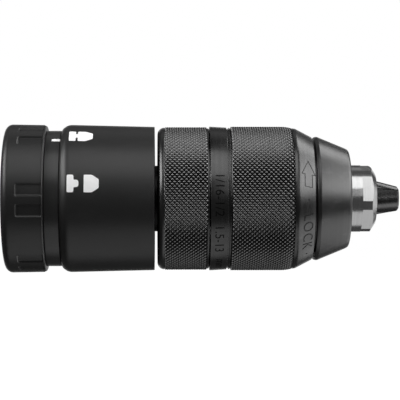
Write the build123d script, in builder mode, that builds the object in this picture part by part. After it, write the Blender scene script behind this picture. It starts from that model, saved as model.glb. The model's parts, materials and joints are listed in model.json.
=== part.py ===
from build123d import *
from math import cos, pi, radians, sin, tan
import os

# A 13 mm keyless drill chuck on a quick-change adapter, in millimetres.
# The chuck's axis is +X, towards the jaws, and the origin is the centre of the adapter's rear face.
# Turns about the axis are in degrees from +Y towards +Z.

# Overall
chuck_radius = 23.0             # outside of the two metal sleeves
sleeve_radius = 23.5            # outside of the plastic locking sleeve

# Fits
running_gap = 0.06              # radial, where one piece turns or slides in another
press_gap = 0.02                # radial, where one piece is pressed on another and stays
face_gap = 0.10                 # axial, between faces that pass each other
lead = 1.0                      # how far a cut runs past the face it opens

# Stations along the axis
index_x = 13.2                  # rear face of the index ring
lock_sleeve_x = 17.9            # rear edge of the locking sleeve
sleeve_space = 0.9              # see-through space between the adapter and the chuck
rear_ring_length = 16.3         # the chuck's rear knurled ring
band_length = 6.0               # range band
front_sleeve_length = 26.1
nose_ring_length = 11.1
nose_length = 8.6
jaw_reach = 7.6                 # closed jaws' tips in front of the nose

# Adapter
rear_wall = 2.6
rear_ring_radius = sleeve_radius + 0.1
index_radius = sleeve_radius - 1.9
ring_space_length = 2.4         # depth of the hollow in the ring's rear
ring_space_wall = 2.4           # plastic left round the spindle in the hollow
pocket_depth = 0.7
pocket_length = 7.7
pocket_turn = 8.8
pocket_pair_turn = 15.6         # between the middles of the two pockets of a pair
pocket_pair_start = 181.2
socket_radius = 10.5            # entrance of the spindle socket
socket_depth = 30.0
seat_radius = 8.0               # pilot seat at the bottom of the socket
seat_length = 12.0
drive_slot_width = 3.0
drive_slot_depth = 1.2
spindle_wall = 4.6
spindle_floor = 2.8             # solid steel in front of the seat
spindle_x = 3.0
neck_radius = 10.5
stub_radius = 6.35              # half-inch male thread, plain here
stub_length = 15.0
ball_radius = 3.0
ball_inset = 3.9                # ball centres from the cam ring's rear face
unlock_turn = 45.0
ball_turns = [30, 150, 270]
cam_length = 8.2
lock_wall = 2.4
lock_web = 2.2                  # the locking sleeve's front wall
key_width = 3.0
key_depth = 0.8

# Chuck
jaw_count = 3
jaw_turn = 78.0                 # turn of the first jaw
jaw_tilt = 15.0                 # each jaw's angle to the axis
jaw_radius = 4.25
tip_radius = 3.75               # outer edge of a jaw at its tip
grip_radius = 0.75              # smallest shank is twice this
jaw_tail = 1.04                 # closed jaws' outer rear corners behind the drive nut
jaw_travel = 22.5               # nine turns of the sleeve
thread_pitch = 2.5              # along the jaw
thread_depth = 0.9
thread_teeth = 9
jaw_split = 0.16                # half the gap between two closed jaws
body_radius = 18.5              # the body's flange
flange_inset = 12.8             # flange's front face from the front sleeve's rear edge
groove_depth = 1.3              # nut groove below the jaws' outermost line
hub_radius = 16.0
shank_bore = 6.7
neck_wall = 0.7                 # body metal outside a jaw under the ball race
barrel_radius = 14.3            # the body inside the nose ring
race_thickness = 1.0
thrust_ball_radius = 1.45
thrust_ball_count = 22
nut_length = 7.1
nut_wall = 3.68                 # steel outside the jaws at the nut's rear face
collar_wall = 2.0
nose_radius = 10.7
nose_chamfer = 1.7
nose_chamfer_depth = 2.7
flats_across = 19.8
flat_turn = 42.0
flats_length = 4.7
screw_radius = 3.0
screw_head_radius = 4.6
screw_head_length = 3.4
hollow_length = 5.5             # space in the rear knurled ring where the open jaws reach
skirt_wall = 1.7
sleeve_wall = 2.1
cone_length = 5.5               # the front sleeve's smooth cone
cone_drop = 3.35
collar_length = 1.1             # smooth step between the knurl and the cone
nose_drop_rear = 3.25           # the nose ring's cone below the sleeves, at its rear
nose_drop_front = 7.35
ratchet_teeth = 36
ratchet_height = 1.3

slope = tan(radians(jaw_tilt))
jaw_step = 360 / jaw_count
jaw_turns = [jaw_turn + jaw_step * k for k in range(jaw_count)]

# Places that follow from the sizes, from the rear to the jaw tips
spindle_radius = socket_radius + spindle_wall
spindle_shoulder = socket_depth + seat_length + spindle_floor
lock_sleeve_front = spindle_shoulder + 0.3 + lock_web
holding_x = lock_sleeve_front + sleeve_space
holding_front = holding_x + rear_ring_length
band_x = holding_front + 0.2
band_front = band_x + band_length + 0.5
front_sleeve_x = band_front + face_gap / 2
front_sleeve_front = front_sleeve_x + front_sleeve_length
nose_ring_x = front_sleeve_front + 0.6
nose_ring_front = nose_ring_x + nose_ring_length
nose_front = nose_ring_front + nose_length
tip_x = nose_front + jaw_reach
cam_x = lock_sleeve_x + 0.4
ball_x = cam_x + ball_inset
sleeve_bore = sleeve_radius - lock_wall
cam_outer = sleeve_bore - 0.3
cam_inner = spindle_radius + running_gap
ball_centre = cam_inner - ball_radius - 0.05
ball_lift = socket_radius - (ball_centre - ball_radius) + 0.05      # outward travel when the sleeve unlocks
lifted_ball_reach = ball_centre + ball_radius + ball_lift + 0.12
detent_radius = (spindle_radius + index_radius) / 2
stub_x = holding_x - 0.05
stub_front = stub_x + stub_length
hub_x = holding_x + 2.0
flange_x = band_x + 1.3
flange_front = front_sleeve_x + flange_inset
race_x = flange_front + press_gap
balls_x = race_x + race_thickness + thrust_ball_radius + 0.03
nut_x = balls_x + thrust_ball_radius + 0.04
nut_front = nut_x + nut_length
groove_front = nut_front + 0.3
jaw_rear_x = nut_x - jaw_tail


def jaw_outside(x):
    """Radius of a jaw's outermost line at x, which its slide never changes."""
    return tip_radius + slope * (tip_x - x)


nut_radius = jaw_outside(nut_x) + nut_wall
collar_radius = nut_radius + collar_wall
spigot_radius = nut_radius - 0.4
race_bore = jaw_outside(flange_front) + neck_wall + 0.1
cage_outer = collar_radius - 0.3
thrust_ring_radius = (race_bore + cage_outer) / 2
sleeve_inside = chuck_radius - sleeve_wall


def turned(outline, mode=Mode.ADD):
    """Revolve a closed outline of (x, radius) points about the chuck's axis."""
    with BuildSketch(Plane.XZ) as profile:
        with BuildLine():
            Polyline(*outline, close=True)
        make_face()
    revolve(profile.sketch, axis=Axis.X, mode=mode)


def bored(x, length, radius, mode=Mode.SUBTRACT):
    """A round hole, or with Mode.ADD a round bar, along the chuck's axis."""
    with BuildSketch(Plane.YZ.offset(x)) as circle:
        Circle(radius)
    extrude(circle.sketch, amount=length, mode=mode)


def rims_at(piece, x, radius):
    """The circular edges of a piece at one station and radius."""
    circles = piece.edges().filter_by(GeomType.CIRCLE)
    return circles.filter_by(lambda e: abs(e.arc_center.X - x) < 0.01 and abs(e.radius - radius) < 0.01)


def radial_plane(turn, x, radius):
    """A plane square to the radius at one turn, with its x direction along the chuck's axis."""
    away = Vector(0, cos(radians(turn)), sin(radians(turn)))
    return Plane(origin=Vector(x, 0, 0) + away * radius, x_dir=(1, 0, 0), z_dir=away)


def jaw_plane(turn, x):
    """A plane square to one jaw's axis where that axis passes x, facing the jaw's rear."""
    away = Vector(0, cos(radians(turn)), sin(radians(turn)))
    radius = jaw_outside(x) - jaw_radius / cos(radians(jaw_tilt))
    rearward = Vector(-cos(radians(jaw_tilt)), 0, 0) + away * sin(radians(jaw_tilt))
    return Plane(origin=Vector(x, 0, 0) + away * radius, x_dir=away.cross(rearward), z_dir=rearward)


def save(piece, name):
    """Label a finished piece and write its STEP."""
    piece.part.label = name
    export_step(piece.part, f"parts/{name}.step")


os.makedirs("parts", exist_ok=True)

# ---- Adapter, fixed to the spindle ----

# Rear ring: a plastic collar with six pairs of grip pockets, open to its front edge
with BuildPart() as rear_ring:
    ring_bore = spindle_radius + press_gap
    ring_front = index_x - 0.05
    turned([(0, ring_bore), (0, rear_ring_radius), (ring_front, rear_ring_radius - 0.15),
            (ring_front, ring_bore)])
    space_inner = spindle_radius + ring_space_wall
    space_outer = rear_ring_radius - rear_wall
    turned([(-lead, space_inner), (-lead, space_outer), (ring_space_length, space_outer),
            (ring_space_length, space_inner)], mode=Mode.SUBTRACT)
    fillet(rims_at(rear_ring, 0, rear_ring_radius), 1.0)
    pocket_x = index_x - 0.4 - pocket_length / 2
    for pair in range(6):
        for side in (-1, 1):
            turn = pocket_pair_start + 60 * pair + side * pocket_pair_turn / 2
            width = rear_ring_radius * radians(pocket_turn)
            with BuildSketch(radial_plane(turn, pocket_x, rear_ring_radius - pocket_depth)):
                RectangleRounded(pocket_length, width, 0.4)
            extrude(amount=pocket_depth + lead, mode=Mode.SUBTRACT)
save(rear_ring, "rear_ring")

# Dust seal: a rubber lip ring in the rear ring's mouth
with BuildPart() as dust_seal:
    turned([(0.5, socket_radius + 0.6), (0.5, spindle_radius), (spindle_x - 0.1, spindle_radius),
            (spindle_x - 0.1, socket_radius + 1.6), (1.5, socket_radius + 1.2), (1.0, socket_radius + 0.5)])
save(dust_seal, "dust_seal")

# Adapter spindle: the socket for the machine's spindle, a neck and a stub that screws into the chuck
seal_x = 7.5
seal_section = 1.1
seal_groove = 1.3
circlip_x = cam_x + cam_length + 3.6
circlip_length = 1.2
circlip_depth = 0.9
with BuildPart() as adapter_spindle:
    turned([(spindle_x, 0), (spindle_x, spindle_radius), (spindle_shoulder, spindle_radius),
            (spindle_shoulder, neck_radius), (stub_x, neck_radius), (stub_x, stub_radius),
            (stub_front, stub_radius), (stub_front, 0)])
    bored(0, socket_depth, socket_radius)
    bored(socket_depth, seat_length, seat_radius)
    bored(stub_x + 2, stub_length, screw_radius + press_gap)
    clip_rear = circlip_x - 0.05
    clip_front = circlip_x + circlip_length + 0.05
    turned([(clip_rear, spindle_radius - circlip_depth), (clip_rear, spindle_radius + lead),
            (clip_front, spindle_radius + lead), (clip_front, spindle_radius - circlip_depth)],
           mode=Mode.SUBTRACT)
    turned([(seal_x - seal_groove, socket_radius - lead), (seal_x - seal_groove, socket_radius + 1.5),
            (seal_x + seal_groove, socket_radius + 1.5), (seal_x + seal_groove, socket_radius - lead)],
           mode=Mode.SUBTRACT)
    with BuildSketch(Plane.YZ.offset(socket_depth)):
        Rectangle(2 * (seat_radius + drive_slot_depth), drive_slot_width)
    extrude(amount=seat_length, mode=Mode.SUBTRACT)
    for turn in ball_turns:
        with BuildSketch(radial_plane(turn, ball_x, socket_radius - lead)):
            Circle(ball_radius + running_gap)
        extrude(amount=spindle_wall + 2 * lead, mode=Mode.SUBTRACT)
    chamfer(rims_at(adapter_spindle, spindle_x, socket_radius), 0.8)
save(adapter_spindle, "adapter_spindle")

# O-ring in the socket's groove
with BuildPart() as o_ring:
    with BuildSketch(Plane.XZ) as section:
        with Locations((seal_x, socket_radius + 0.3)):
            Circle(seal_section)
    revolve(axis=Axis.X)
save(o_ring, "o_ring")

# Index ring: pressed on the spindle between the rear ring and the sleeve, with a pocket for the detent
detent_turn = 200.0
detent_ball_radius = 1.5
detent_floor = 0.6
with BuildPart() as index_ring:
    turned([(index_x, spindle_radius + press_gap), (index_x, index_radius),
            (lock_sleeve_x - 0.05, index_radius), (lock_sleeve_x - 0.05, spindle_radius + press_gap)])
    with BuildSketch(Plane.YZ.offset(index_x + detent_floor)):
        with PolarLocations(detent_radius, 1, start_angle=detent_turn):
            Circle(detent_ball_radius + running_gap)
    extrude(amount=lock_sleeve_x - index_x, mode=Mode.SUBTRACT)
save(index_ring, "index_ring")

# Detent: a ball and its spring, which hold the sleeve at either end of its turn
detent_bite = 0.55              # how far the ball reaches into the cam ring
detent_ball_x = cam_x + detent_bite - detent_ball_radius
detent_y = detent_radius * cos(radians(detent_turn))
detent_z = detent_radius * sin(radians(detent_turn))
with BuildPart() as detent_ball:
    with Locations((detent_ball_x, detent_y, detent_z)):
        Sphere(detent_ball_radius)
save(detent_ball, "detent_ball")

with BuildPart() as detent_spring:
    spring_wire = 0.18
    spring_start = Vector(index_x + detent_floor + 0.2 + spring_wire, detent_y, detent_z)
    spring_room = detent_ball_x - detent_ball_radius - 0.1 - spring_wire - spring_start.X
    coil_radius = detent_ball_radius - 0.55
    with BuildLine() as coil:
        Helix(spring_room / 2, spring_room, coil_radius, center=spring_start, direction=(1, 0, 0))
    with BuildSketch(Plane(origin=coil.line @ 0, z_dir=coil.line % 0)):
        Circle(spring_wire)
    sweep(path=coil.line, is_frenet=True)
save(detent_spring, "detent_spring")

# Wave spring, thrust washer and circlip that keep the cam ring against the index ring
wave_x = cam_x + cam_length + face_gap
wave_length = 2.2
wave_leaf = 0.4
wave_inner = spindle_radius + 0.5
wave_outer = sleeve_bore - 1.6
with BuildPart() as wave_spring:
    wave_front = wave_x + wave_length
    wave_middle = wave_x + 1.2
    wave_shoulder = wave_outer - 1.0
    turned([(wave_x, wave_inner), (wave_x, wave_shoulder), (wave_middle, wave_outer),
            (wave_front, wave_shoulder), (wave_front, wave_inner),
            (wave_front - wave_leaf, wave_inner), (wave_front - wave_leaf, wave_shoulder - 0.3),
            (wave_middle, wave_outer - 0.7), (wave_x + wave_leaf, wave_shoulder - 0.3),
            (wave_x + wave_leaf, wave_inner)])
save(wave_spring, "wave_spring")

with BuildPart() as thrust_washer:
    washer_x = wave_x + wave_length + 0.05
    bored(washer_x, circlip_x - 0.05 - washer_x, sleeve_bore - 1.8, mode=Mode.ADD)
    bored(wave_x, 2 * wave_length, spindle_radius + running_gap)
save(thrust_washer, "thrust_washer")

with BuildPart() as spindle_circlip:
    bored(circlip_x, circlip_length, spindle_radius + 1.4, mode=Mode.ADD)
    bored(circlip_x - lead, circlip_length + 2 * lead, spindle_radius - circlip_depth + 0.05)
    with BuildSketch(Plane.YZ.offset(circlip_x)):
        with Locations((0, spindle_radius)):
            Rectangle(5, 6)
    extrude(amount=circlip_length, mode=Mode.SUBTRACT)
save(spindle_circlip, "spindle_circlip")

# ---- Locking sleeve and its cam ring, which turn together ----

# Locking sleeve: a plastic shell with a front wall and three keys for the cam ring
lock_shoulder = 2.1             # length of the rounded rear shoulder
lock_taper = 0.62               # how much the sleeve narrows to its front
web_bore = neck_radius + 0.3
web_x = lock_sleeve_front - lock_web
key_turns = [ball + 60 for ball in ball_turns]
with BuildPart() as locking_sleeve:
    with BuildSketch(Plane.XZ) as profile:
        with BuildLine():
            outer = Polyline((lock_sleeve_x + lock_shoulder, sleeve_radius),
                             (lock_sleeve_front, sleeve_radius - lock_taper),
                             (lock_sleeve_front, web_bore),
                             (web_x, web_bore),
                             (web_x, sleeve_bore - 1.0),
                             (web_x - 1.0, sleeve_bore),
                             (lock_sleeve_x, sleeve_bore),
                             (lock_sleeve_x, sleeve_bore + 0.5))
            ThreePointArc(outer @ 1, (lock_sleeve_x + 0.75, sleeve_radius - 0.55), outer @ 0)
        make_face()
    revolve(profile.sketch, axis=Axis.X)
    for turn in key_turns:
        with BuildSketch(radial_plane(turn, cam_x + cam_length / 2, sleeve_bore - key_depth)):
            Rectangle(cam_length, key_width)
        extrude(amount=key_depth + lock_wall / 3)
save(locking_sleeve, "locking_sleeve")

# Cam ring: steel, with one ramp for each locking ball and a detent track in its rear face
with BuildPart() as cam_ring:
    bored(cam_x, cam_length, cam_outer, mode=Mode.ADD)
    bored(cam_x - lead, cam_length + 2 * lead, cam_inner)
    for turn in ball_turns:
        ramp_start = turn - 2
        ramp_end = turn + unlock_turn + 3
        ramp_middle = (ramp_start + ramp_end) / 2
        pocket_end = ramp_end + 12
        half = [(radius * cos(radians(angle)), radius * sin(radians(angle))) for radius, angle in (
            (cam_inner + 0.02, ramp_start), ((cam_inner + lifted_ball_reach) / 2 + 0.05, ramp_middle),
            (lifted_ball_reach + 0.1, ramp_end), (lifted_ball_reach + 0.02, pocket_end),
            (cam_inner - lead, pocket_end), (cam_inner - lead, ramp_middle), (cam_inner - lead, ramp_start))]
        with BuildSketch(Plane.YZ.offset(cam_x - lead)) as ramp:
            with BuildLine():
                ThreePointArc(half[0], half[1], half[2])
                Polyline(half[2], half[3], half[4])
                ThreePointArc(half[4], half[5], half[6])
                Line(half[6], half[0])
            make_face()
        extrude(ramp.sketch, amount=cam_length + 2 * lead, mode=Mode.SUBTRACT)
    for turn in key_turns:
        with BuildSketch(radial_plane(turn, cam_x + cam_length / 2, sleeve_bore - key_depth - face_gap)):
            Rectangle(cam_length + 2 * lead, key_width + 2 * face_gap)
        extrude(amount=key_depth + lead, mode=Mode.SUBTRACT)
    with BuildSketch(Plane.YZ.offset(cam_x - lead)) as track:
        with BuildLine():
            half_track = 1.35
            track_start = detent_turn - 4
            arc_in = CenterArc((0, 0), detent_radius - half_track, track_start, unlock_turn + 8)
            arc_out = CenterArc((0, 0), detent_radius + half_track, track_start, unlock_turn + 8)
            Line(arc_in @ 0, arc_out @ 0)
            Line(arc_in @ 1, arc_out @ 1)
        make_face()
    extrude(track.sketch, amount=lead + detent_bite + 0.15, mode=Mode.SUBTRACT)
save(cam_ring, "cam_ring")

# Locking balls, one joint each
for number, turn in enumerate(ball_turns, start=1):
    with BuildPart() as locking_ball:
        with Locations((ball_x, ball_centre * cos(radians(turn)), ball_centre * sin(radians(turn)))):
            Sphere(ball_radius)
    save(locking_ball, f"locking_ball_{number}")

# ---- Chuck body and what is fixed to it ----

bore_start = jaw_rear_x - (jaw_travel + 4) * cos(radians(jaw_tilt))
bore_end = nose_front + jaw_radius
neck_outside = jaw_outside(flange_front) + neck_wall
groove_x = nut_x - 0.2
screw_well = stub_front + 0.4
with BuildPart() as chuck_body:
    turned([(hub_x, 0), (hub_x, hub_radius), (flange_x, hub_radius), (flange_x, body_radius),
            (flange_front, body_radius), (flange_front, neck_outside), (groove_x, neck_outside - 0.4),
            (groove_x, jaw_outside(nut_x) - groove_depth),
            (groove_front, jaw_outside(groove_front) - groove_depth), (groove_front, barrel_radius),
            (nose_ring_front - 0.5, barrel_radius), (nose_ring_front - 0.5, nose_radius),
            (nose_front, nose_radius), (nose_front, 0)])
    bored(flange_x, nose_front, shank_bore)
    bored(hub_x - lead, screw_well - hub_x + lead, stub_radius + press_gap)
    bored(hub_x, flange_x - hub_x + lead, screw_radius + 0.2)
    for turn in jaw_turns:
        with BuildSketch(jaw_plane(turn, bore_end)):
            Circle(jaw_radius + running_gap)
        extrude(amount=(bore_end - bore_start) / cos(radians(jaw_tilt)), mode=Mode.SUBTRACT)
    with BuildSketch(Plane.YZ.offset(nose_front - flats_length)):
        Circle(nose_radius + lead)
        RegularPolygon(flats_across / 2, 6, major_radius=False, rotation=flat_turn - 30, mode=Mode.SUBTRACT)
    extrude(amount=flats_length + lead, mode=Mode.SUBTRACT)
    chamfer_x = nose_front - nose_chamfer
    turned([(chamfer_x, nose_radius + 0.01), (chamfer_x, nose_radius + lead),
            (nose_front + 0.1, nose_radius + lead), (nose_front + 0.1, nose_radius - nose_chamfer_depth)],
           mode=Mode.SUBTRACT)
save(chuck_body, "chuck_body")

# Retaining screw: left-hand, through the body's floor into the stub
screw_floor = flange_x + 0.03
screw_length = 11.0
with BuildPart() as retaining_screw:
    bored(screw_floor, screw_head_length, screw_head_radius, mode=Mode.ADD)
    bored(screw_floor - screw_length, screw_length + 0.2, screw_radius, mode=Mode.ADD)
    with BuildSketch(Plane.YZ.offset(screw_floor + screw_head_length)):
        RegularPolygon(2.5, 6, major_radius=False)
    extrude(amount=-2.2, mode=Mode.SUBTRACT)
save(retaining_screw, "retaining_screw")

# Rear knurled ring: pressed on the body's hub, hollow in front where the open jaws reach
with BuildPart() as rear_knurled_ring:
    rear_edge = chuck_radius - 0.2
    front_edge = chuck_radius - 0.15
    skirt_bore = chuck_radius - skirt_wall
    hollow_x = holding_front - hollow_length
    hub_bore = hub_radius + press_gap
    turned([(holding_x, neck_radius + 0.6), (holding_x, rear_edge), (holding_front, front_edge),
            (holding_front, skirt_bore), (hollow_x, skirt_bore), (hollow_x, hub_bore),
            (hub_x - 0.05, hub_bore), (hub_x - 0.05, neck_radius + 0.6)])
    fillet(rims_at(rear_knurled_ring, holding_x, rear_edge), 2.2)
    chamfer(rims_at(rear_knurled_ring, holding_front, front_edge), 0.25)
save(rear_knurled_ring, "rear_knurled_ring")

# Thrust race: hardened washer on the flange's front face
with BuildPart() as thrust_race:
    bored(race_x, race_thickness, collar_radius - 0.2, mode=Mode.ADD)
    bored(race_x - lead, race_thickness + 2 * lead, race_bore)
save(thrust_race, "thrust_race")

# Ratchet ring: fine teeth on the flange, which the pawl spring rides over
ratchet_length = 4.0
ratchet_x = flange_front - ratchet_length - 0.2
ratchet_radius = body_radius + ratchet_height
with BuildPart() as ratchet_ring:
    bored(ratchet_x, ratchet_length, ratchet_radius, mode=Mode.ADD)
    bored(ratchet_x - lead, ratchet_length + 2 * lead, body_radius + press_gap)
    with BuildSketch(Plane.YZ.offset(ratchet_x - lead)):
        with PolarLocations(ratchet_radius, ratchet_teeth):
            Rectangle(ratchet_height - 0.1, 1.6, rotation=20)
    extrude(amount=ratchet_length + 2 * lead, mode=Mode.SUBTRACT)
save(ratchet_ring, "ratchet_ring")

# Nose ring: a satin cone pressed on the body's barrel, with a spigot that guides the front sleeve
with BuildPart() as nose_ring:
    spigot_x = groove_front + 0.3
    ring_bore = barrel_radius + press_gap
    cone_rear = chuck_radius - nose_drop_rear
    cone_front = chuck_radius - nose_drop_front
    turned([(spigot_x, ring_bore), (spigot_x, spigot_radius), (nose_ring_x, spigot_radius),
            (nose_ring_x, cone_rear), (nose_ring_x + 1.0, cone_rear + 0.05),
            (nose_ring_front, cone_front), (nose_ring_front, ring_bore)])
    fillet(rims_at(nose_ring, nose_ring_front, cone_front), 0.6)
    chamfer(rims_at(nose_ring, nose_ring_x, cone_rear), 0.2)
save(nose_ring, "nose_ring")

# ---- Front sleeve and what turns with it ----

with BuildPart() as front_sleeve:
    cone_x = front_sleeve_front - cone_length
    collar_x = cone_x - collar_length
    lip_x = groove_front + 0.1
    lip_bore = spigot_radius + running_gap
    nut_seat = collar_radius + press_gap
    guide_x = front_sleeve_x + 1.6
    guide_front = front_sleeve_x + 4.0
    guide_bore = body_radius + running_gap
    turned([(front_sleeve_x, sleeve_inside + 0.3), (front_sleeve_x, chuck_radius), (collar_x, chuck_radius),
            (collar_x, chuck_radius - 0.4), (cone_x, chuck_radius - 0.45),
            (front_sleeve_front, chuck_radius - cone_drop), (front_sleeve_front, lip_bore), (lip_x, lip_bore),
            (lip_x, nut_seat), (nut_x - 0.4, nut_seat), (nut_x - 0.9, sleeve_inside),
            (guide_front, sleeve_inside), (guide_front, guide_bore), (guide_x, guide_bore),
            (guide_x, sleeve_inside + 0.3)])
    chamfer(rims_at(front_sleeve, front_sleeve_x, chuck_radius), 0.25)
save(front_sleeve, "front_sleeve")

# Range band: a smooth ring fixed in the front sleeve's rear, engraved with the shank sizes
with BuildPart() as range_band:
    band_edge = band_x + band_length - 0.6
    band_seat = sleeve_inside + 0.28
    tongue_front = front_sleeve_x + 1.5
    tongue_bore = sleeve_inside - 0.6
    turned([(band_x, chuck_radius - skirt_wall), (band_x, chuck_radius), (band_edge, chuck_radius - 0.3),
            (band_edge, chuck_radius - 0.75), (band_front, chuck_radius - 0.75), (band_front, band_seat),
            (tongue_front, band_seat), (tongue_front, tongue_bore), (band_x + 3.0, tongue_bore),
            (band_x + 1.0, chuck_radius - skirt_wall)])
    chamfer(rims_at(range_band, band_x, chuck_radius), 0.25)
save(range_band, "range_band")

# Drive nut: two halves, their bore a cone over the jaws' threads
for letter, side in (("a", 1), ("b", -1)):
    with BuildPart() as nut_half:
        turned([(nut_x, jaw_outside(nut_x) + 0.15), (nut_x, nut_radius), (nut_front, nut_radius),
                (nut_front, jaw_outside(nut_front) + 0.15)])
        with BuildSketch(Plane.XZ.offset(-side * 0.1)):
            Rectangle(4 * nose_front, 4 * nut_radius)
        extrude(amount=side * 2 * nut_radius, mode=Mode.SUBTRACT)
    save(nut_half, f"drive_nut_half_{letter}")

# Nut collar: pressed over both halves and into the sleeve
with BuildPart() as nut_collar:
    bored(nut_x, nut_length, collar_radius, mode=Mode.ADD)
    bored(nut_x - lead, nut_length + 2 * lead, nut_radius + press_gap)
save(nut_collar, "nut_collar")

# Pawl spring: a bent leaf in the sleeve, its tip just clear of the ratchet's teeth
pawl_outer = sleeve_inside - press_gap
pawl_turn = 80
pawl_leaf = 0.45
pawl_tip = ratchet_radius + 0.25
with BuildPart() as pawl_spring:
    with BuildSketch(Plane.YZ.offset(ratchet_x + 0.5)) as leaf:
        with BuildLine():
            leaf_out = CenterArc((0, 0), pawl_outer, 0, pawl_turn)
            leaf_in = CenterArc((0, 0), pawl_outer - pawl_leaf, 0, pawl_turn)
            Line(leaf_out @ 0, leaf_in @ 0)
            Line(leaf_out @ 1, leaf_in @ 1)
        make_face()
        with PolarLocations(pawl_tip, 1, start_angle=pawl_turn / 2):
            Rectangle(pawl_outer - pawl_leaf / 2 - pawl_tip, 1.4, align=(Align.MIN, Align.CENTER))
    extrude(leaf.sketch, amount=ratchet_length - 1.0)
save(pawl_spring, "pawl_spring")

# ---- Ball cage and thrust balls, which turn at half the sleeve's speed ----

cage_length = 1.6
with BuildPart() as ball_cage:
    bored(balls_x - cage_length / 2, cage_length, cage_outer, mode=Mode.ADD)
    bored(balls_x - cage_length, 2 * cage_length, race_bore + 0.1)
    with BuildSketch(Plane.YZ.offset(balls_x - cage_length)):
        with PolarLocations(thrust_ring_radius, thrust_ball_count):
            Circle(thrust_ball_radius + running_gap)
    extrude(amount=2 * cage_length, mode=Mode.SUBTRACT)
save(ball_cage, "ball_cage")

with BuildPart() as thrust_balls:
    for number in range(thrust_ball_count):
        angle = 2 * pi * number / thrust_ball_count
        with Locations((balls_x, thrust_ring_radius * cos(angle), thrust_ring_radius * sin(angle))):
            Sphere(thrust_ball_radius)
save(thrust_balls, "thrust_balls")

# ---- Jaws: slanted pins with a wedge-shaped grip and a threaded back ----

first_tooth = 2.4               # from a jaw's rear corner
half_root = 0.3
half_crest = 0.95
corner_distance = jaw_split / sin(radians(jaw_step / 2))
wedge_reach = 2 * chuck_radius
for number, turn in enumerate(jaw_turns, start=1):
    rear_plane = jaw_plane(turn, jaw_rear_x - jaw_radius * sin(radians(jaw_tilt)))
    length = (tip_x + jaw_radius - rear_plane.origin.X) / cos(radians(jaw_tilt))
    corner = Vector(corner_distance * cos(radians(turn)), corner_distance * sin(radians(turn)))
    sides = []
    for side in (1, -1):
        angle = radians(turn + side * jaw_step / 2)
        sides.append(corner + Vector(cos(angle), sin(angle)) * wedge_reach)
    with BuildPart() as jaw:
        with BuildSketch(rear_plane):
            Circle(jaw_radius)
        extrude(amount=-length)
        chamfer(jaw.edges().group_by(Axis.X)[0], 0.4)
        for tooth in range(thread_teeth):
            x = jaw_rear_x + first_tooth + tooth * thread_pitch * cos(radians(jaw_tilt))
            crest = jaw_outside(x) + 0.5
            root = jaw_outside(x) - thread_depth
            turned([(x - half_crest, crest), (x - half_root, root), (x + half_root, root),
                    (x + half_crest, crest)], mode=Mode.SUBTRACT)
        with BuildSketch(Plane.YZ.offset(tip_x)) as grip:
            with BuildLine():
                Polyline(corner, sides[0], sides[1], close=True)
            make_face()
            Circle(grip_radius, mode=Mode.SUBTRACT)
        extrude(grip.sketch, amount=-2 * length, mode=Mode.INTERSECT)
        tip_edges = jaw.edges().filter_by(lambda e: e.center().X > tip_x - 0.01)
        chamfer(tip_edges.sort_by(lambda e: Vector(0, e.center().Y, e.center().Z).length)[-1], 0.5)
    save(jaw, f"jaw_{number}")
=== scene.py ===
import bpy
import bmesh
import json
from math import cos, pi, radians, sin
from mathutils import Matrix, Vector


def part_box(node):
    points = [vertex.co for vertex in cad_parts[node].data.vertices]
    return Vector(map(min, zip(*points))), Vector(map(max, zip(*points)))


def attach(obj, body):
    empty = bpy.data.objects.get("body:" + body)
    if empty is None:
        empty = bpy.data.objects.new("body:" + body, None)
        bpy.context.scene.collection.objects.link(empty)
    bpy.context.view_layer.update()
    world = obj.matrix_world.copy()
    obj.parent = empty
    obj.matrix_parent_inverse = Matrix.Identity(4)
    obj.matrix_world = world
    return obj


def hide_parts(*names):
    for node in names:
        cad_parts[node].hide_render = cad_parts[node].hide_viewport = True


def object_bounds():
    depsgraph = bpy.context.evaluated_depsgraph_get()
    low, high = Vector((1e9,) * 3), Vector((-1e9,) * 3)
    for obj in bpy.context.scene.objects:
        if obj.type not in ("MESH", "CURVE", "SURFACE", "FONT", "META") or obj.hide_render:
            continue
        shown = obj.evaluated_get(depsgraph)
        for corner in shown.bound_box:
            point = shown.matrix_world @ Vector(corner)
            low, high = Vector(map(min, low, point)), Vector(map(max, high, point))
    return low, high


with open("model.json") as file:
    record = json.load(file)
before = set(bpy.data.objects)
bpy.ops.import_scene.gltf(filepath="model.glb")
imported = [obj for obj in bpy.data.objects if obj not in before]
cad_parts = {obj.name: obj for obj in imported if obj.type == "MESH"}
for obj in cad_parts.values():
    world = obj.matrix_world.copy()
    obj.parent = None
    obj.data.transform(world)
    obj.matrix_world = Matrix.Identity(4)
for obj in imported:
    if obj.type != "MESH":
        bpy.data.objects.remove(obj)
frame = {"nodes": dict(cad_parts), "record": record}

# The chuck lies along +X, jaws at the far end, and is seen from -Y.
# Turns are in degrees round the axis: 0 faces the viewer, 90 is the top.

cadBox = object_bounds()
mm = 0.001
creases = {"made": 32, "marks": 30, "cad": 28}      # degrees between faces that make a sharp edge
scene = bpy.context.scene
scene.view_settings.view_transform = "Standard"


class Wire:            # a socket that takes part in sums
    def __init__(self, surface, socket):
        self.surface = surface
        self.socket = socket

    def maths(self, operation, first, second):
        return self.surface.add("Math", {"operation": operation}, {0: first, 1: second})

    def __add__(self, other):
        return self.maths("ADD", self, other)

    __radd__ = __add__

    def __sub__(self, other):
        return self.maths("SUBTRACT", self, other)

    def __rsub__(self, other):
        return self.maths("SUBTRACT", other, self)

    def __mul__(self, other):
        return self.maths("MULTIPLY", self, other)

    __rmul__ = __mul__

    def swing(self, amount):       # a noise's share, up and down from its mean
        return (self - 0.5) * amount


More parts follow.
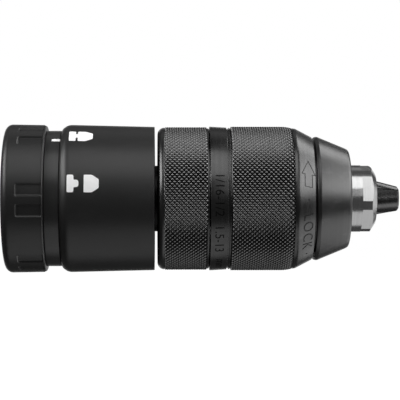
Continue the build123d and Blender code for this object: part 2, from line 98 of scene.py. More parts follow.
class Surface:         # the nodes of one material, or of the world
    def __init__(self, made):
        self.made = made
        self.made.use_nodes = True
        self.tree = self.made.node_tree
        self.tree.nodes.clear()

    def add(self, kind, settings=None, inputs=None, output=0):
        node = self.tree.nodes.new("ShaderNode" + kind)
        for key, value in (settings or {}).items():
            if key == "stops":
                for stop, (place, level) in zip(node.color_ramp.elements, value):
                    stop.position = place
                    stop.color = (level, level, level, 1)
            else:
                setattr(node, key, value)
        for key, value in (inputs or {}).items():
            if isinstance(value, Wire):
                self.tree.links.new(value.socket, node.inputs[key])
            else:
                node.inputs[key].default_value = value
        return Wire(self, node.outputs[output]) if node.outputs else node

    def noise(self, scale, detail, stretch=(1, 1, 1)):
        place = self.add("TexCoord", output="Object")
        place = self.add("Mapping", inputs={"Vector": place, "Scale": stretch})
        return self.add("TexNoise", inputs={"Vector": place, "Scale": scale, "Detail": detail,
                                            "Roughness": 0.5})

    def ramp(self, value, low, high):       # 0 below low, 1 above high
        return self.add("ValToRGB", {"stops": ((low, 0), (high, 1))}, {0: value})

    def mix(self, factor, first, second):   # sockets 6 and 7 are the node's two colours
        return self.add("Mix", {"data_type": "RGBA"}, {0: factor, 6: first, 7: second}, output=2)

    def finish(self, color, bump, depth, **shine):
        inputs = {name.replace("_", " "): value for name, value in shine.items()}
        inputs["Base Color"] = color
        inputs["Normal"] = self.add("Bump", inputs={"Height": bump, "Distance": depth, "Strength": 1.0})
        shader = self.add("BsdfPrincipled", inputs=inputs)
        self.add("OutputMaterial", inputs={"Surface": shader})
        return self.made


def grey(level, warm=0.0):
    return (level * (1 + warm), level, level * (1 - warm), 1)


# tints are shares of the worn colour, shines are how far the roughness varies
plastic = {"color": 0.009, "worn": 0.016, "roughness": 0.40, "grain": 2600, "grainDepth": 0.012 * mm,
           "clouds": 60, "scuffs": 240, "scuffStretch": (0.35, 1, 1), "scuffRange": (0.56, 0.72),
           "cloudTint": 0.5, "scuffTint": 0.4, "grainShine": 0.22, "cloudShine": 0.10}
rubber = {"color": 0.010, "worn": 0.024, "roughness": 0.62, "grain": 1800, "grainDepth": 0.01 * mm,
          "grainShine": 0.2}
whiteInk = {"color": 0.90, "worn": 0.98, "roughness": 0.5, "grain": 2600, "grainDepth": 0.008 * mm,
            "clouds": 500, "grainShine": 0.15}
turned = {"warm": 0.0, "turning": 9000, "turningDepth": 0.0015 * mm, "passes": 1100, "clouds": 90,
          "rubs": 420, "rubStretch": (0.5, 1, 1), "rubRange": (0.58, 0.76), "cloudTint": 0.35,
          "passTint": 0.5, "rubTint": 0.3, "turningShine": 0.16, "cloudShine": 0.12}
darkPlate = dict(turned, color=0.052, worn=0.11, roughness=0.30)
satinPlate = dict(turned, color=0.055, worn=0.122, roughness=0.34, turningDepth=0.0035 * mm)
brightSteel = dict(turned, color=0.40, worn=0.68, roughness=0.20, turning=6000, turningDepth=0.002 * mm)
darkSteel = dict(turned, color=0.07, worn=0.12, roughness=0.24, turning=1500, turningDepth=0.002 * mm)
ringStretch = (1, 0.012, 0.012)      # draws a noise out into rings round the axis


def mouldedPlastic(name, look):
    surface = Surface(bpy.data.materials.new(name))
    grain = surface.noise(look["grain"], 2)
    cloud = surface.noise(look["clouds"], 4)
    scuff = surface.ramp(surface.noise(look["scuffs"], 5, look["scuffStretch"]), *look["scuffRange"])
    wear = cloud * look["cloudTint"] + scuff * look["scuffTint"]
    color = surface.mix(wear, grey(look["color"]), grey(look["worn"]))
    roughness = look["roughness"] + grain.swing(look["grainShine"]) + cloud.swing(look["cloudShine"])
    return surface.finish(color, grain, look["grainDepth"], Roughness=roughness, IOR=1.5)


def turnedMetal(name, look):
    surface = Surface(bpy.data.materials.new(name))
    turning = surface.noise(look["turning"], 2, ringStretch)
    passes = surface.noise(look["passes"], 3, ringStretch)
    cloud = surface.noise(look["clouds"], 5)
    rub = surface.ramp(surface.noise(look["rubs"], 4, look["rubStretch"]), *look["rubRange"])
    wear = cloud * look["cloudTint"] + passes * look["passTint"] + rub * look["rubTint"]
    color = surface.mix(wear, grey(look["color"], look["warm"]), grey(look["worn"], look["warm"]))
    roughness = look["roughness"] + turning.swing(look["turningShine"]) + cloud.swing(look["cloudShine"])
    return surface.finish(color, turning, look["turningDepth"], Roughness=roughness, Metallic=1.0)


def rubberSkin(name, look):
    surface = Surface(bpy.data.materials.new(name))
    grain = surface.noise(look["grain"], 3)
    color = surface.mix(grain, grey(look["color"]), grey(look["worn"]))
    roughness = look["roughness"] + grain.swing(look["grainShine"])
    return surface.finish(color, grain, look["grainDepth"], Roughness=roughness)


def printedWhite(name, look):
    surface = Surface(bpy.data.materials.new(name))
    grain = surface.noise(look["grain"], 2)
    color = surface.mix(surface.noise(look["clouds"], 3), grey(look["color"]), grey(look["worn"]))
    roughness = look["roughness"] + grain.swing(look["grainShine"])
    return surface.finish(color, grain, look["grainDepth"], Roughness=roughness)


print("finishes")
finishes = {
    "black_plastic": mouldedPlastic("black_plastic", plastic),
    "dark_metal": turnedMetal("dark_metal", darkPlate),
    "satin_metal": turnedMetal("satin_metal", satinPlate),
    "ground_steel": turnedMetal("ground_steel", brightSteel),
    "jaw_steel": turnedMetal("jaw_steel", darkSteel),
    "hardened_steel": turnedMetal("hardened_steel", dict(darkSteel, color=0.03, worn=0.05, roughness=0.4)),
    "spring_steel": turnedMetal("spring_steel", dict(darkSteel, color=0.28, worn=0.36)),
    "bearing_steel": turnedMetal("bearing_steel", dict(brightSteel, roughness=0.12)),
    "cage_brass": turnedMetal("cage_brass", dict(brightSteel, color=0.5, warm=0.35)),
    "seal_rubber": rubberSkin("seal_rubber", rubber),
    "white_print": printedWhite("white_print", whiteInk),
}
engraved = turnedMetal("engraved_floor", dict(darkPlate, color=0.012, worn=0.02, roughness=0.5))
# the cone's sunk marks have floors darker than the plate: a painted shade in the strokes
stampedPaintedShade = turnedMetal("stamped_floor_painted_shade", dict(darkPlate, color=0.036, worn=0.05, roughness=0.4))
# lit and shaded copies of the dark plate for the knurl: a painted highlight on the tips, a middle tone on
# the sides, a painted shade in the grooves
knurlPaintedHighlightTips = turnedMetal("knurl_tips_painted_highlight", dict(darkPlate, color=0.24, worn=0.33, roughness=0.26))
knurlPaintedMidtoneSides = turnedMetal("knurl_sides_painted_midtone", dict(darkPlate, color=0.070, worn=0.105, roughness=0.24))
knurlPaintedShadeGrooves = turnedMetal("knurl_grooves_painted_shade", dict(darkPlate, color=0.026, worn=0.040, roughness=0.34))
# a lighter, glossier copy of the black plastic for the index ring: the gloss and grey are its own, and the
# extra lightness is painted light against the shade of its neighbouring rings
indexPlasticGreyAndPaintedLight = mouldedPlastic("index_plastic_grey_and_painted_light", dict(plastic, color=0.016, worn=0.028, roughness=0.33))


def profile(corners, x, r):
    # corners in mm, as (past x, below r, rounding)
    return [(x + along * mm, r - below * mm, rounding * mm) for along, below, rounding in corners]


def softened(corners, steps=5):
    # rounds each (x, radius, rounding) corner of a closed section
    points = []
    for index, (x, r, rounding) in enumerate(corners):
        here = Vector((x, r))
        if not rounding:
            points.append((x, r))
            continue
        before = Vector(corners[index - 1][:2]) - here
        after = Vector(corners[(index + 1) % len(corners)][:2]) - here
        start = here + before.normalized() * min(rounding, before.length / 2)
        end = here + after.normalized() * min(rounding, after.length / 2)
        for step in range(steps + 1):
            t = step / steps
            points.append(tuple(start * (1 - t) ** 2 + here * 2 * t * (1 - t) + end * t * t))
    return points


def quarterRound(x, r, size, steps=9):
    # a convex rear edge, from the rear face round to the outside
    turns = [pi / 2 * step / steps for step in range(steps + 1)]
    return [(x + size * (1 - cos(turn)), r - size * (1 - sin(turn))) for turn in turns]


def smoothStep(value):
    value = min(max(value, 0), 1)
    return value * value * (3 - 2 * value)


def onAxis(x, radius, turn):
    return (x, -radius * cos(turn), radius * sin(turn))


def span(node):        # a CAD node's first and last x, and its outer radius
    low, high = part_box(node)
    return low.x, high.x, high.z


def addPiece(name, mesh, body, crease, smooth):
    mesh.polygons.foreach_set("use_smooth", smooth)
    mesh.update()
    mesh.set_sharp_from_angle(angle=radians(crease))
    piece = bpy.data.objects.new(name, mesh)
    scene.collection.objects.link(piece)
    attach(piece, body)
    return piece


def lathe(name, section, slot, body, around, shape=None, split=None, flat=None):
    # a closed section of (x, radius) points swept round the axis; shape may change each point's radius
    rows = len(section)
    verts = []
    for x, r in section:
        for column in range(around):
            turn = 2 * pi * column / around
            radius = shape(x, r, turn) if shape else r
            verts.append(onAxis(x, radius, turn))
    faces = []
    for row in range(rows):
        after = (row + 1) % rows
        for column in range(around):
            beside = (column + 1) % around
            a, b = row * around + column, row * around + beside
            c, d = after * around + beside, after * around + column
            cut = split(row, column) if split else None
            if cut == "rising":
                faces += [(a, b, c), (a, c, d)]
            elif cut == "falling":
                faces += [(a, b, d), (b, c, d)]
            else:
                faces.append((a, b, c, d))
    mesh = bpy.data.meshes.new(name)
    mesh.from_pydata(verts, [], faces)
    mesh.materials.append(finishes[slot])
    smooth = [not (flat and flat(index)) for index in range(len(faces))]
    return addPiece(name, mesh, body, creases["made"], smooth)


spindleFit = 0.02 * mm      # room between the plastic rings and the spindle


def spindleBore():
    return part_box("adapter_spindle")[1].z + spindleFit


rearRing = {"around": 720, "corner": 2.3 * mm, "taper": 0.15 * mm, "rows": 40, "rowGap": 0.25 * mm,
            "pairs": 6, "pairStart": -1.2, "pairTurn": 15.6, "pocketTurn": 8.8, "pocketEdge": 1.3,
            "pocketDepth": 0.6 * mm, "pocketRear": 4.6 * mm, "pocketFront": 0.55 * mm,
            "rearSlope": 0.5 * mm, "frontSlope": 0.3 * mm, "skin": 1.6 * mm, "frontEdge": 1.0 * mm,
            "mouth": ((0.6, 0, 0.3), (0, -0.4, 0.3), (0, -2.0, 0.4), (2.4, -2.6, 0.4)),
            "rim": ((2.4, 3.4, 0.4), (0, 3.1, 0.3))}


def makeRearRing():
    look = rearRing
    x0, x1, r = span("rear_ring")
    bore = spindleBore()
    middles = [look["pairStart"] + 360 / look["pairs"] * pair + side * look["pairTurn"] / 2
               for pair in range(look["pairs"]) for side in (-1, 1)]

    def pockets(x, radius, turn):
        if radius < r - look["skin"]:
            return radius
        degrees = turn * 180 / pi
        away = min(abs((degrees - middle + 180) % 360 - 180) for middle in middles)
        across = smoothStep((look["pocketTurn"] / 2 - away) / look["pocketEdge"] + 0.5)
        fromRear = smoothStep((x - x0 - look["pocketRear"]) / look["rearSlope"])
        fromFront = smoothStep((x1 - look["pocketFront"] - x) / look["frontSlope"])
        return radius - look["pocketDepth"] * across * fromRear * fromFront

    start = x0 + look["corner"] + look["rowGap"]
    outside = [(start + step * look["rowGap"], r - look["taper"] * step / look["rows"])
               for step in range(look["rows"])]
    inside = [(x1, r - look["taper"], look["frontEdge"]), (x1, bore, 0)]
    inside += profile(look["mouth"], x0, bore) + profile(look["rim"], x0, r)
    section = quarterRound(x0, r, look["corner"]) + outside + softened(inside)
    ring = lathe("grip_ring", section, "black_plastic", "adapter", look["around"], pockets)
    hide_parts("rear_ring")


indexRing = {"around": 360, "rearEdge": 0.2 * mm, "frontEdge": 0.3 * mm}


def makeIndexRing():
    look = indexRing
    x0, x1, r = span("index_ring")
    bore = spindleBore()
    section = softened([(x0, bore, 0), (x0, r, look["rearEdge"]), (x1, r, look["frontEdge"]), (x1, bore, 0)])
    ring = lathe("index_band", section, "black_plastic", "adapter", look["around"])
    # the index ring's own grey plus painted light against its neighbours' shade
    ring.data.materials[0] = indexPlasticGreyAndPaintedLight
    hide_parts("index_ring")


lockSleeve = {"around": 360, "wall": 2.4 * mm, "web": 2.2 * mm, "webBore": 10.8 * mm, "taper": 0.62 * mm,
              "rear": ((0, 1.9, 0), (0.35, 1.15, 0.7)), "shoulder": 2.1 * mm, "shoulderEdge": 1.3 * mm,
              "frontEdge": 0.12 * mm, "boreEdge": 0.2 * mm, "rearEdge": 0.1 * mm,
              "webCorner": ((0, 1.0, 0.5), (-1.0, 0, 0.5))}


def sleeveRadius(x):
    x0, x1, r = span("locking_sleeve")
    start = x0 + lockSleeve["shoulder"]
    return r - lockSleeve["taper"] * max(0, x - start) / (x1 - start)


def makeLockSleeve():
    look = lockSleeve
    x0, x1, r = span("locking_sleeve")
    inside = r - look["wall"]
    web = x1 - look["web"]
    corners = profile(look["rear"], x0, r)
    corners += [(x0 + look["shoulder"], r, look["shoulderEdge"]), (x1, r - look["taper"], look["frontEdge"]),
                (x1, look["webBore"], look["boreEdge"]), (web, look["webBore"], 0)]
    corners += profile(look["webCorner"], web, inside)
    corners.append((x0, inside, look["rearEdge"]))
    sleeve = lathe("lock_shell", softened(corners, 6), "black_plastic", "lock_sleeve", look["around"])
    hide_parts("locking_sleeve")


wrapStep = 0.5 * mm       # flat shapes are cut this often before they bend round the chuck


def wrapped(mesh, x, radius, turn, low, high, upright):
    # lays a flat mesh on the round surface: its y runs along the axis when upright is False
    bm = bmesh.new()
    bm.from_mesh(mesh)
    axis = 1 if upright else 0
    reach = max(abs(v.co[axis]) for v in bm.verts)
    for line in range(-int(reach / wrapStep) - 1, int(reach / wrapStep) + 2):
        place = Vector((0, 0, 0))
        place[axis] = line * wrapStep
        normal = Vector((0, 0, 0))
        normal[axis] = 1
        shape = bm.verts[:] + bm.edges[:] + bm.faces[:]
        bmesh.ops.bisect_plane(bm, geom=shape, plane_co=place, plane_no=normal)
    made = bmesh.ops.extrude_face_region(bm, geom=bm.faces[:])["geom"]
    top = {v for v in made if isinstance(v, bmesh.types.BMVert)}
    for v in bm.verts:
        along, across = (v.co.x, v.co.y) if upright else (v.co.y, -v.co.x)
        place = x + along
        r = radius(place)
        angle = radians(turn) + across / r
        v.co = Vector(onAxis(place, r + (high if v in top else low), angle))
    bmesh.ops.recalc_face_normals(bm, faces=bm.faces[:])
    bm.to_mesh(mesh)
    bm.free()
    return mesh


def flatShape(name, outlines):
    bm = bmesh.new()
    for outline in outlines:
        bm.faces.new([bm.verts.new((x, y, 0)) for x, y in outline])
    bmesh.ops.remove_doubles(bm, verts=bm.verts[:], dist=0.001 * mm)
    mesh = bpy.data.meshes.new(name)
    bm.to_mesh(mesh)
    bm.free()
    return mesh


def strokeAround(loop, width):
    # the four-sided pieces of a line drawn along the inside of a closed loop
    inner = []
    for index, point in enumerate(loop):
        here = Vector(point)
        before = (here - Vector(loop[index - 1])).normalized()
        after = (Vector(loop[(index + 1) % len(loop)]) - here).normalized()
        side = Vector((-before.y - after.y, before.x + after.x))
        inner.append(here + side * width / (1 + before.dot(after)))
    pieces = []
    for index, point in enumerate(loop):
        after = (index + 1) % len(loop)
        pieces.append([point, loop[after], tuple(inner[after]), tuple(inner[index])])
    return pieces


def lettering(name, text, height, spacing):
    # the built-in face, scaled so that its capitals are height tall, centred on the origin
    curve = bpy.data.curves.new(name, "FONT")
    curve.body = text
    curve.space_character = spacing
    holder = bpy.data.objects.new(name, curve)
    scene.collection.objects.link(holder)
    bpy.context.view_layer.update()
    mesh = bpy.data.meshes.new_from_object(holder.evaluated_get(bpy.context.evaluated_depsgraph_get()))
    bpy.data.objects.remove(holder)
    low = [min(v.co[k] for v in mesh.vertices) for k in range(2)]
    high = [max(v.co[k] for v in mesh.vertices) for k in range(2)]
    scale = height / (high[1] - low[1])
    for v in mesh.vertices:
        v.co.x = (v.co.x - (low[0] + high[0]) / 2) * scale
        v.co.y = (v.co.y - (low[1] + high[1]) / 2) * scale
        v.co.z = 0
    return mesh


def makeMark(name, mesh, body):
    mesh.materials.append(finishes["white_print"])
    addPiece(name, mesh, body, creases["marks"], [True] * len(mesh.polygons))


# half outlines in mm, as (along, aside, rounding)
symbols = {"proud": 0.05 * mm, "sunk": 0.25 * mm, "joinedX": 20.7 * mm, "joinedTurn": 56.4,
           "apartX": 20.5 * mm, "apartTurn": 11.4,
           "joined": (((0, 2.75, 0.35), (2.1, 2.75, 0.35), (2.1, 1.0, 0.1), (2.75, 1.0, 0.1),
                       (2.75, 2.75, 0.35), (5.1, 2.75, 0.3), (7.4, 1.5, 0.4)),),
           "apart": (((0, 2.75, 0.45), (2.0, 2.75, 0.45), (2.1, 1.15, 0.3), (3.6, 1.15, 0.75)),
                     ((5.2, 2.75, 0.35), (7.7, 2.75, 0.3), (9.8, 1.35, 0.25)))}
indexMark = {"turn": 57.4, "length": 2.6 * mm, "width": 1.35 * mm, "clear": 0.05 * mm,
             "rearRound": 0.3 * mm, "frontRound": 0.1 * mm}


def makeSymbols():
    look = symbols

    def outline(half):       # mirrored about the symbol's middle line
        mirrored = [(x, -y, rounding) for x, y, rounding in reversed(half)]
        return softened([(x * mm, y * mm, rounding * mm) for x, y, rounding in list(half) + mirrored], 3)

    for kind in ("joined", "apart"):
        name = f"symbol_{kind}"
        flat = flatShape(name, [outline(half) for half in look[kind]])
        mesh = wrapped(flat, look[kind + "X"], sleeveRadius, look[kind + "Turn"], -look["sunk"],
                       look["proud"], True)
        makeMark(name, mesh, "lock_sleeve")


def makeIndexMark():
    look = indexMark
    x1, r = span("index_ring")[1:]
    length, half = look["length"], look["width"] / 2
    bar = softened([(0, -half, look["rearRound"]), (length, -half, look["frontRound"]),
                    (length, half, look["frontRound"]), (0, half, look["rearRound"])], 3)
    mesh = wrapped(flatShape("index_mark", [bar]), x1 - length - look["clear"], lambda x: r, look["turn"],
                   -symbols["sunk"], symbols["proud"], True)
    makeMark("index_mark", mesh, "adapter")


cutterTop = 0.5 * mm      # how far the engraving tools stand above the surface


def engrave(piece, cutters, floor):
    # sinks the cutters' shapes into the piece, their floors in a darker finish
    piece.data.materials.append(floor)
    for name, mesh in cutters:
        mesh.materials.clear()
        mesh.materials.append(floor)
        tool = bpy.data.objects.new(name, mesh)
        scene.collection.objects.link(tool)
        cut = piece.modifiers.new(name, "BOOLEAN")
        cut.operation = "DIFFERENCE"
        cut.solver = "EXACT"
        cut.material_mode = "TRANSFER"
        cut.object = tool
        bpy.context.view_layer.objects.active = piece
        piece.select_set(True)
        bpy.ops.object.modifier_apply(modifier=name)
        piece.select_set(False)
        bpy.data.objects.remove(tool)


# levels are the heights from a groove's floor to a diamond's tip; past tip and groove the faces change to
# painted light: a painted highlight on the tips, a painted shade in the grooves and a middle tone on the
# sides between
knurl = {"columns": 95, "finer": 6, "depth": 0.36 * mm, "levels": (0.0, 0.42, 0.84, 1.0), "tip": 0.12,
         "groove": 0.66}


def knurledRows(x0, x1, radius):
    # rows for a knurl between two stations, as near as whole diamonds allow
    pitch = 2 * pi * radius / knurl["columns"]
    diamonds = max(1, round((x1 - x0) / pitch))
    count = diamonds * knurl["finer"]
    return [(x0 + (x1 - x0) * row / count, radius) for row in range(count + 1)]


def knurledLathe(name, before, rows, after, body, sag=lambda x: 0):
    finer = knurl["finer"]
    start = len(before)
    section = before + rows + after
    places = {x: index for index, (x, r) in enumerate(rows)}
    columns = knurl["columns"] * finer

    def level(row, column):
        rising = (row + column) % finer
        falling = (row - column) % finer
        return knurl["levels"][min(rising, finer - rising, falling, finer - falling)]

    def shape(x, r, turn):
        if x not in places or r != rows[0][1]:
            return r
        column = round(turn * columns / (2 * pi))
        return r - sag(x) - knurl["depth"] * (1 - level(places[x], column))

    def split(row, column):
        row -= start
        if not 0 <= row < len(rows) - 1:
            return None
        rising = (row + column + 1) % finer
        falling = (row - column) % finer
        return "falling" if min(rising, finer - rising) < min(falling, finer - falling) else "rising"

    firstFlat = start * columns
    lastFlat = firstFlat + (len(rows) - 1) * columns * 2
    piece = lathe(name, section, "dark_metal", body, columns, shape, split,
                  lambda index: firstFlat <= index < lastFlat)
    # the knurl's painted highlight, middle tone and painted shade, in that order
    for material in (knurlPaintedHighlightTips, knurlPaintedMidtoneSides, knurlPaintedShadeGrooves):
        piece.data.materials.append(material)
    # each knurl face takes painted light by its depth: the highlight near the tips, the shade deep in the
    # grooves
    for face in piece.data.polygons[firstFlat:lastFlat]:
        sunk = (rows[0][1] - sag(face.center.x) - Vector(face.center[1:]).length) / knurl["depth"]
        if sunk < knurl["tip"]:
            face.material_index = 1
        elif sunk > knurl["groove"]:
            face.material_index = 3
        else:
            face.material_index = 2
    return piece


rearMetal = {"corner": 2.15 * mm, "drop": 0.18 * mm, "trim": 0.05 * mm, "neck": 11.1 * mm, "hub": 16.02 * mm,
             "wall": 1.7 * mm, "disc": 2.0 * mm, "skirt": 5.5 * mm, "skirtEdge": 0.2 * mm,
             "knurlX": 2.5 * mm, "lead": 0.12 * mm, "leadDrop": 0.3 * mm,
             "knurlEnd": 0.75 * mm, "run": 0.1 * mm, "runDrop": 0.36 * mm, "runEdge": 0.05 * mm,
             "front": ((-0.12, 0.4, 0.1), (0, 0.6, 0.1))}


def makeRearMetalRing():
    look = rearMetal
    x0, x1, r = span("rear_knurled_ring")
    top = r - look["trim"]
    skirt = r - look["wall"]
    neck, hub = look["neck"], look["hub"]
    knurlStart, knurlEnd = x0 + look["knurlX"], x1 - look["knurlEnd"]
    before = [(x0, neck)] + quarterRound(x0, top - look["drop"], look["corner"])
    before.append((knurlStart - look["lead"], top - look["leadDrop"]))
    rows = knurledRows(knurlStart, knurlEnd, top)
    corners = [(knurlEnd + look["run"], top - look["runDrop"], look["runEdge"])]
    corners += profile(look["front"], x1, top)
    corners += [(x1, skirt, look["skirtEdge"]), (x1 - look["skirt"], skirt, 0), (x1 - look["skirt"], hub, 0),
                (x0 + look["disc"], hub, 0), (x0 + look["disc"], neck, 0)]
    ring = knurledLathe("holding_ring", before, rows, softened(corners), "adapter")
    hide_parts("rear_knurled_ring")


# each word is its text, its turn and its height beside the numbers'
rangeBand = {"around": 480, "face": 5.4 * mm, "taper": 0.3 * mm, "wall": 1.7 * mm, "edge": 0.22 * mm,
             "frontEdge": 0.1 * mm,
             "groove": ((0.05, 0.75, 0.08), (0.55, 0.75, 0.08), (0.6, 0.4, 0.08), (0.95, 0.42, 0.1),
                        (1.05, 1.8, 0)),
             "spigot": ((0, 1.85, 0), (0, 2.7, 0)), "spigotRear": ((3.0, 2.7, 0),),
             "wordX": 2.8 * mm, "letter": 2.8 * mm, "spacing": 1.02, "engraving": 0.12 * mm,
             "words": (("1/16-1/2", 2.2, 1.0), ("1.5-13", -34.5, 1.0), ("mm", -64.0, 0.68))}


def makeRangeBand():
    look = rangeBand
    x0, x1, r = span("range_band")
    front = x0 + look["face"]

    def radius(x):
        return r - look["taper"] * (x - x0) / look["face"]

    corners = [(x0, r - look["wall"], 0), (x0, radius(x0), look["edge"]),
               (front, radius(front), look["frontEdge"])]
    corners += profile(look["groove"], front, r)
    corners += profile(look["spigot"], x1, r) + profile(look["spigotRear"], x0, r)
    band = lathe("size_band", softened(corners), "dark_metal", "front_sleeve", look["around"])
    middle = x0 + look["wordX"]
    cutters = []
    for place, (word, turn, size) in enumerate(look["words"]):
        name = f"size_{place}"
        letters = lettering(name, word, size * look["letter"], look["spacing"])
        cutters.append((name, wrapped(letters, middle, radius, turn, -look["engraving"], cutterTop, False)))
    engrave(band, cutters, engraved)
    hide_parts("range_band")


# the arrow is half an outline in mm, drawn with a stroke
frontMetal = {"around": 480, "trim": 0.02 * mm, "wall": 2.1 * mm, "rearDrop": 0.5 * mm, "edge": 0.1 * mm,
              "knurlX": 0.35 * mm, "lead": 0.12 * mm, "leadDrop": 0.36 * mm,
              "collarX": 19.55 * mm, "collarDrop": 0.55 * mm, "collarEdge": 0.15 * mm, "coneX": 20.65 * mm,
              "shoulder": 0.55 * mm, "sag": 0.42 * mm, "sagLength": 3.2 * mm, "knurlEnd": 0.15 * mm,
              "endDrop": 0.45 * mm, "endEdge": 0.05 * mm,
              "tip": 3.4 * mm, "tipEdge": 0.25 * mm, "lip": 1.9 * mm, "lipOver": 2.6 * mm,
              "lipDrop": 3.55 * mm,
              "markX": 23.7 * mm, "engraving": 0.14 * mm, "arrowTurn": 21.5, "stroke": 0.24 * mm,
              "arrow": ((8.2, 0), (4.0, 1.95), (4.0, 1.05), (0, 1.05)),
              "word": "LOCK", "wordTurn": -31.0, "letter": 3.1 * mm, "spacing": 1.18,
              "dot": 0.3 * mm, "dotSides": 16, "dotTurns": (-1.0, -56.0)}


def makeFrontMetalSleeve():
    look = frontMetal
    x0, x1, r = span("front_sleeve")
    top = r - look["trim"]
    inner = r - look["wall"]
    collar = x0 + look["collarX"]
    cone = x0 + look["coneX"]
    shoulder = top - look["collarDrop"]

    def coneRadius(x):
        return shoulder - (look["tip"] - look["collarDrop"]) * (x - cone) / (x1 - cone)

    def sag(x):        # the knurl rounds down towards the cone
        return look["sag"] * max(0, 1 - (collar - x) / look["sagLength"]) ** 2

    before = softened([(x0, inner, 0), (x0, top - look["rearDrop"], look["edge"]),
                       (x0 + look["knurlX"] - look["lead"], top - look["leadDrop"], look["edge"])])
    rows = knurledRows(x0 + look["knurlX"], collar - look["knurlEnd"], top)
    after = softened([(collar, top - look["sag"] - look["endDrop"], look["endEdge"]), (collar, inner, 0)])
    grip = knurledLathe("grip_sleeve", before, rows, after, "front_sleeve", sag)

    lipX = x1 - look["lip"]
    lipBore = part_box("nose_ring")[1].z - look["lipOver"]
    nose = softened([
        (collar, inner, 0), (collar, shoulder, look["collarEdge"]), (cone, shoulder, look["shoulder"]),
        (x1, coneRadius(x1), look["tipEdge"]), (x1, lipBore, 0), (lipX, lipBore, 0),
        (lipX, r - look["lipDrop"], 0)], 4)
    cap = lathe("cone_sleeve", nose, "dark_metal", "front_sleeve", look["around"])

    length = look["arrow"][0][0]
    loop = [((along - length / 2) * mm, across * mm) for along, across in look["arrow"]]
    loop += [(along, -across) for along, across in reversed(loop[1:])]
    turnedBack = [(-along, across) for along, across in loop]
    shapes = [("arrow", flatShape("arrow", strokeAround(turnedBack, look["stroke"])), look["arrowTurn"]),
              ("word", lettering("word", look["word"], look["letter"], look["spacing"]), look["wordTurn"])]
    corners = [2 * pi * side / look["dotSides"] for side in range(look["dotSides"])]
    ring = [(look["dot"] * cos(turn), look["dot"] * sin(turn)) for turn in corners]
    for place, turn in enumerate(look["dotTurns"]):
        shapes.append((f"dot_{place}", flatShape(f"dot_{place}", [ring]), turn))
    middle = x0 + look["markX"]
    cutters = [(name, wrapped(mesh, middle, coneRadius, turn, -look["engraving"], cutterTop, False))
               for name, mesh, turn in shapes]
    # the floors of the sunk marks take the darker finish, a painted shade
    engrave(cap, cutters, stampedPaintedShade)
    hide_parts("front_sleeve")
    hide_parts("front_sleeve")


noseCone = {"around": 360, "bore": 14.32 * mm, "spigot": 17.0 * mm, "spigotEdge": 0.1 * mm, "gap": 0.6 * mm,
            "rear": ((0, 0.25, 0.15), (1.0, 0, 0.3)), "front": ((0, 4.15, 1.3),),
            "mouth": ((0, -0.3, 0.2), (-0.3, 0, 0))}


def makeNoseCone():
    look = noseCone
    x0, x1, r = span("nose_ring")
    bore, spigot = look["bore"], look["spigot"]
    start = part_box("front_sleeve")[1].x + look["gap"]
    corners = [(x0, bore, 0), (x0, spigot, look["spigotEdge"]), (start, spigot, 0)]
    corners += profile(look["rear"], start, r) + profile(look["front"], x1, r)
    corners += profile(look["mouth"], x1, bore)
    ring = lathe("nose_cone", softened(corners, 6), "satin_metal", "adapter", look["around"])
    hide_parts("nose_ring")


for makePiece in (makeRearRing, makeIndexRing, makeLockSleeve, makeSymbols, makeIndexMark,
                  makeRearMetalRing, makeRangeBand, makeFrontMetalSleeve, makeNoseCone):
    makePiece()
    print("made", makePiece.__name__[4:])

# the CAD pieces that stay take the finish of their slot
slots = {part["node"]: part["material_slot"] for part in frame["record"]["subparts"]}
for name, node in frame["nodes"].items():
    node.data.materials.clear()
    node.data.materials.append(finishes[slots[name]])
    node.data.polygons.foreach_set("use_smooth", [True] * len(node.data.polygons))
    node.data.set_sharp_from_angle(angle=radians(creases["cad"]))
print("finishes on the CAD pieces")


room = {"floor": -0.13, "size": 6.0, "glow": 0.97, "paper": 0.5, "fill": 0.08}


def makeRoom():
    paper = Surface(bpy.data.materials.new("pale_paper"))
    shade = paper.add("BsdfDiffuse", inputs={"Color": grey(room["paper"])})
    glow = paper.add("Emission", inputs={"Color": grey(1.0), "Strength": room["glow"]})
    both = paper.add("AddShader", inputs={0: shade, 1: glow})
    paper.add("OutputMaterial", inputs={"Surface": both})
    half, low = room["size"] / 2, room["floor"]
    verts = [(-half, -half, low), (half, -half, low), (half, half, low), (-half, half, low)]
    mesh = bpy.data.meshes.new("floor")
    mesh.from_pydata(verts, [], [(0, 1, 2, 3)])
    mesh.materials.append(paper.made)
    ground = bpy.data.objects.new("floor", mesh)
    scene.collection.objects.link(ground)
    ground.visible_glossy = False
    ground.visible_diffuse = False

    air = Surface(bpy.data.worlds.new("room"))      # white where it is seen, dim where it lights
    seen = air.add("LightPath", output="Is Camera Ray")
    level = air.add("MapRange", inputs={"Value": seen, "To Min": room["fill"], "To Max": 1.0})
    sky = air.add("Background", inputs={"Color": grey(1.0), "Strength": level})
    air.add("OutputWorld", inputs={"Surface": sky})
    scene.world = air.made


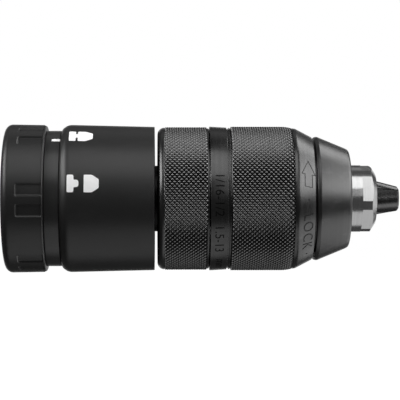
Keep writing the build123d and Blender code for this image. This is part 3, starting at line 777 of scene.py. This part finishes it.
# panels round the chuck: lean towards +X, height from the viewer's level over the top, half widths in
# metres along and round the chuck, brightness
panels = {
    "key": {"lean": 4, "height": 58, "wide": 0.32, "tall": 0.43, "glow": 1.75},
    "top": {"lean": 0, "height": 124, "wide": 0.50, "tall": 0.20, "glow": 0.25},
    "low": {"lean": 0, "height": -76, "wide": 0.36, "tall": 0.60, "glow": 0.68},
    "keySide": {"lean": 58, "height": 56, "wide": 0.22, "tall": 0.50, "glow": 4.2},
    "topSide": {"lean": 34, "height": 114, "wide": 0.24, "tall": 0.22, "glow": 4.0},
    "rearSide": {"lean": -52, "height": 64, "wide": 0.24, "tall": 0.44, "glow": 6.5},
    "nose": {"lean": 16, "height": 20, "wide": 0.10, "tall": 0.20, "glow": 1.2},
    "lowSide": {"lean": 48, "height": -98, "wide": 0.30, "tall": 0.80, "glow": 1.3},
    "front": {"lean": 98, "height": 0, "wide": 0.50, "tall": 0.70, "glow": 0.8},
    "back": {"lean": 0, "height": 180, "wide": 0.60, "tall": 0.36, "glow": 0.7},
}


def makePanels():
    middle = (cadBox[0] + cadBox[1]) / 2
    for name, panel in panels.items():
        data = bpy.data.lights.new(name, "AREA")
        data.shape = "RECTANGLE"
        data.size = 2 * panel["wide"]
        data.size_y = 2 * panel["tall"]
        data.energy = panel["glow"] * pi * data.size * data.size_y
        lamp = bpy.data.objects.new(name, data)
        lean, height = radians(panel["lean"]), radians(panel["height"])
        away = Vector((sin(lean), -cos(lean) * cos(height), cos(lean) * sin(height)))
        upward = Vector((0, sin(height), cos(height)))
        sideways = upward.cross(away)
        lamp.location = middle + away
        lamp.rotation_euler = Matrix((sideways, upward, away)).transposed().to_euler()
        lamp.visible_camera = False
        scene.collection.objects.link(lamp)


view = {"distance": 0.5376, "footX": 0.0506, "middleX": 0.0618, "middleZ": -0.00048, "sensor": 36,
        "lens": 151.2, "farthest": 50}


def makeCamera():
    data = bpy.data.cameras.new("camera")
    data.sensor_width = view["sensor"]
    data.lens = view["lens"]
    data.clip_end = view["farthest"]
    camera = bpy.data.objects.new("camera", data)
    camera.location = (view["footX"], -view["distance"], 0)
    aim = Vector((view["middleX"], 0, view["middleZ"])) - camera.location
    camera.rotation_euler = aim.to_track_quat("-Z", "Y").to_euler()
    scene.collection.objects.link(camera)
    scene.camera = camera


makeRoom()
makePanels()
makeCamera()
print("room, panels and camera")
